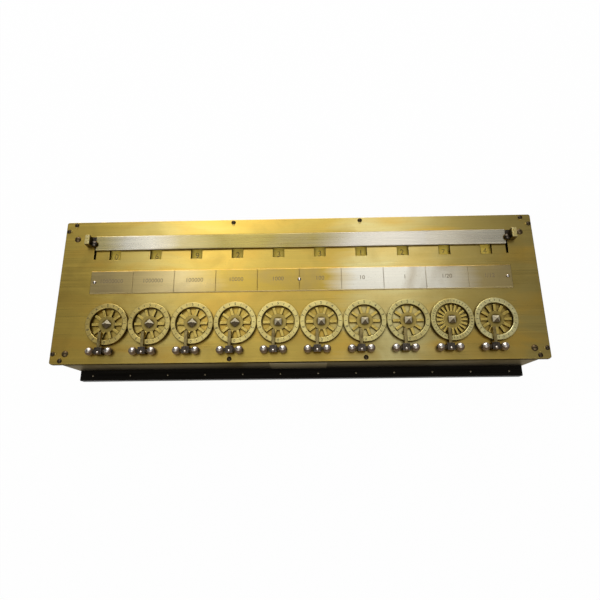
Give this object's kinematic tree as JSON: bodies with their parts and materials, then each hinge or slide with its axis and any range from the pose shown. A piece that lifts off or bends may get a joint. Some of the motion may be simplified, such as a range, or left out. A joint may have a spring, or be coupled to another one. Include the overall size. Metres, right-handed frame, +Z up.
{
  "type": "mechanical calculator",
  "caption": "Long brass box calculator on a black base: a row of spoked stylus dials turns number drums behind windows, with a sliding cover bar and finger stops.",
  "frame": {"origin": "middle of the underside of the base board", "axes": "+X to the right along the row of dials, +Y from the front to the back, +Z up"},
  "size_m": [0.48, 0.1652, 0.0818],
  "materials": {
    "brass": "brushed",
    "pale_brass": "brushed",
    "silvered_brass": "satin",
    "polished_steel": "polished",
    "dark_steel": "blackened",
    "black_wood": "ebonised"
  },
  "bodies": {
    "case": {"front_panel": "brass", "back_panel": "brass", "end_panels": "brass", "corner_posts": "brass", "top_plate": "brass", "dial_bushes": "brass", "frame_plates": "brass", "front_plaque": "pale_brass", "label_strip": "pale_brass", "dial_rings": "silvered_brass", "base_nails": "polished_steel", "label_pins": "polished_steel", "stop_spindles": "polished_steel", "click_springs": "polished_steel", "plate_screws": "dark_steel", "edge_clips": "dark_steel", "stop_fingers": "dark_steel", "base_board": "black_wood"},
    "dial_1": {"input_wheel_1": "brass", "crown_wheel_1": "brass"},
    "dial_2": {"input_wheel_2": "brass", "crown_wheel_2": "brass"},
    "dial_3": {"input_wheel_3": "brass", "crown_wheel_3": "brass"},
    "dial_4": {"input_wheel_4": "brass", "crown_wheel_4": "brass"},
    "dial_5": {"input_wheel_5": "brass", "crown_wheel_5": "brass"},
    "dial_6": {"input_wheel_6": "brass", "crown_wheel_6": "brass"},
    "dial_7": {"input_wheel_7": "brass", "crown_wheel_7": "brass"},
    "dial_8": {"input_wheel_8": "brass", "crown_wheel_8": "brass"},
    "dial_9": {"input_wheel_9": "brass", "crown_wheel_9": "brass"},
    "dial_10": {"input_wheel_10": "brass", "crown_wheel_10": "brass"},
    "drum_1": {"number_drum_1": "pale_brass"},
    "drum_2": {"number_drum_2": "pale_brass"},
    "drum_3": {"number_drum_3": "pale_brass"},
    "drum_4": {"number_drum_4": "pale_brass"},
    "drum_5": {"number_drum_5": "pale_brass"},
    "drum_6": {"number_drum_6": "pale_brass"},
    "drum_7": {"number_drum_7": "pale_brass"},
    "drum_8": {"number_drum_8": "pale_brass"},
    "drum_9": {"number_drum_9": "pale_brass"},
    "drum_10": {"number_drum_10": "pale_brass"},
    "lever_1": {"carry_lever_1": "polished_steel"},
    "lever_2": {"carry_lever_2": "polished_steel"},
    "lever_3": {"carry_lever_3": "polished_steel"},
    "lever_4": {"carry_lever_4": "polished_steel"},
    "lever_5": {"carry_lever_5": "polished_steel"},
    "lever_6": {"carry_lever_6": "polished_steel"},
    "lever_7": {"carry_lever_7": "polished_steel"},
    "lever_8": {"carry_lever_8": "polished_steel"},
    "lever_9": {"carry_lever_9": "polished_steel"},
    "bar": {"cover_bar": "silvered_brass", "bar_end_blocks": "dark_steel", "bar_grips": "brass"}
  },
  "joints": [
    {"name": "dial_turn_1", "type": "hinge", "parent": "case", "child": "dial_1", "pos_m": [-0.1865, -0.0362, 0.073], "axis": [0, 0, 1], "continuous": true},
    {"name": "drum_turn_1", "type": "hinge", "parent": "case", "child": "drum_1", "pos_m": [-0.1865, 0, 0.0501], "axis": [0, 1, 0], "continuous": true},
    {"name": "dial_turn_2", "type": "hinge", "parent": "case", "child": "dial_2", "pos_m": [-0.1445, -0.0362, 0.073], "axis": [0, 0, 1], "continuous": true},
    {"name": "drum_turn_2", "type": "hinge", "parent": "case", "child": "drum_2", "pos_m": [-0.1445, 0, 0.0501], "axis": [0, 1, 0], "continuous": true},
    {"name": "dial_turn_3", "type": "hinge", "parent": "case", "child": "dial_3", "pos_m": [-0.1025, -0.0362, 0.073], "axis": [0, 0, 1], "continuous": true},
    {"name": "drum_turn_3", "type": "hinge", "parent": "case", "child": "drum_3", "pos_m": [-0.1025, 0, 0.0501], "axis": [0, 1, 0], "continuous": true},
    {"name": "dial_turn_4", "type": "hinge", "parent": "case", "child": "dial_4", "pos_m": [-0.0605, -0.0362, 0.073], "axis": [0, 0, 1], "continuous": true},
    {"name": "drum_turn_4", "type": "hinge", "parent": "case", "child": "drum_4", "pos_m": [-0.0605, 0, 0.0501], "axis": [0, 1, 0], "continuous": true},
    {"name": "dial_turn_5", "type": "hinge", "parent": "case", "child": "dial_5", "pos_m": [-0.0185, -0.0362, 0.073], "axis": [0, 0, 1], "continuous": true},
    {"name": "drum_turn_5", "type": "hinge", "parent": "case", "child": "drum_5", "pos_m": [-0.0185, 0, 0.0501], "axis": [0, 1, 0], "continuous": true},
    {"name": "dial_turn_6", "type": "hinge", "parent": "case", "child": "dial_6", "pos_m": [0.0235, -0.0362, 0.073], "axis": [0, 0, 1], "continuous": true},
    {"name": "drum_turn_6", "type": "hinge", "parent": "case", "child": "drum_6", "pos_m": [0.0235, 0, 0.0501], "axis": [0, 1, 0], "continuous": true},
    {"name": "dial_turn_7", "type": "hinge", "parent": "case", "child": "dial_7", "pos_m": [0.0655, -0.0362, 0.073], "axis": [0, 0, 1], "continuous": true},
    {"name": "drum_turn_7", "type": "hinge", "parent": "case", "child": "drum_7", "pos_m": [0.0655, 0, 0.0501], "axis": [0, 1, 0], "continuous": true},
    {"name": "dial_turn_8", "type": "hinge", "parent": "case", "child": "dial_8", "pos_m": [0.1075, -0.0362, 0.073], "axis": [0, 0, 1], "continuous": true},
    {"name": "drum_turn_8", "type": "hinge", "parent": "case", "child": "drum_8", "pos_m": [0.1075, 0, 0.0501], "axis": [0, 1, 0], "continuous": true},
    {"name": "dial_turn_9", "type": "hinge", "parent": "case", "child": "dial_9", "pos_m": [0.1495, -0.0362, 0.073], "axis": [0, 0, 1], "continuous": true},
    {"name": "drum_turn_9", "type": "hinge", "parent": "case", "child": "drum_9", "pos_m": [0.1495, 0, 0.0501], "axis": [0, 1, 0], "continuous": true},
    {"name": "dial_turn_10", "type": "hinge", "parent": "case", "child": "dial_10", "pos_m": [0.1915, -0.0362, 0.073], "axis": [0, 0, 1], "continuous": true},
    {"name": "drum_turn_10", "type": "hinge", "parent": "case", "child": "drum_10", "pos_m": [0.1915, 0, 0.0501], "axis": [0, 1, 0], "continuous": true},
    {"name": "lever_lift_1", "type": "hinge", "parent": "case", "child": "lever_1", "pos_m": [-0.1865, 0, 0.0501], "axis": [0, -1, 0], "range_deg": [0, 22]},
    {"name": "lever_lift_2", "type": "hinge", "parent": "case", "child": "lever_2", "pos_m": [-0.1445, 0, 0.0501], "axis": [0, -1, 0], "range_deg": [0, 22]},
    {"name": "lever_lift_3", "type": "hinge", "parent": "case", "child": "lever_3", "pos_m": [-0.1025, 0, 0.0501], "axis": [0, -1, 0], "range_deg": [0, 22]},
    {"name": "lever_lift_4", "type": "hinge", "parent": "case", "child": "lever_4", "pos_m": [-0.0605, 0, 0.0501], "axis": [0, -1, 0], "range_deg": [0, 22]},
    {"name": "lever_lift_5", "type": "hinge", "parent": "case", "child": "lever_5", "pos_m": [-0.0185, 0, 0.0501], "axis": [0, -1, 0], "range_deg": [0, 22]},
    {"name": "lever_lift_6", "type": "hinge", "parent": "case", "child": "lever_6", "pos_m": [0.0235, 0, 0.0501], "axis": [0, -1, 0], "range_deg": [0, 22]},
    {"name": "lever_lift_7", "type": "hinge", "parent": "case", "child": "lever_7", "pos_m": [0.0655, 0, 0.0501], "axis": [0, -1, 0], "range_deg": [0, 22]},
    {"name": "lever_lift_8", "type": "hinge", "parent": "case", "child": "lever_8", "pos_m": [0.1075, 0, 0.0501], "axis": [0, -1, 0], "range_deg": [0, 22]},
    {"name": "lever_lift_9", "type": "hinge", "parent": "case", "child": "lever_9", "pos_m": [0.1495, 0, 0.0501], "axis": [0, -1, 0], "range_deg": [0, 22]},
    {"name": "bar_slide", "type": "slide", "parent": "case", "child": "bar", "axis": [0, 1, 0], "range_m": [-0.012, 0]}
  ],
  "couplings": [
    {"joint": "drum_turn_1", "follows": "dial_turn_1", "ratio": -1},
    {"joint": "drum_turn_2", "follows": "dial_turn_2", "ratio": -1},
    {"joint": "drum_turn_3", "follows": "dial_turn_3", "ratio": -1},
    {"joint": "drum_turn_4", "follows": "dial_turn_4", "ratio": -1},
    {"joint": "drum_turn_5", "follows": "dial_turn_5", "ratio": -1},
    {"joint": "drum_turn_6", "follows": "dial_turn_6", "ratio": -1},
    {"joint": "drum_turn_7", "follows": "dial_turn_7", "ratio": -1},
    {"joint": "drum_turn_8", "follows": "dial_turn_8", "ratio": -1},
    {"joint": "drum_turn_9", "follows": "dial_turn_9", "ratio": -1},
    {"joint": "drum_turn_10", "follows": "dial_turn_10", "ratio": -1}
  ]
}
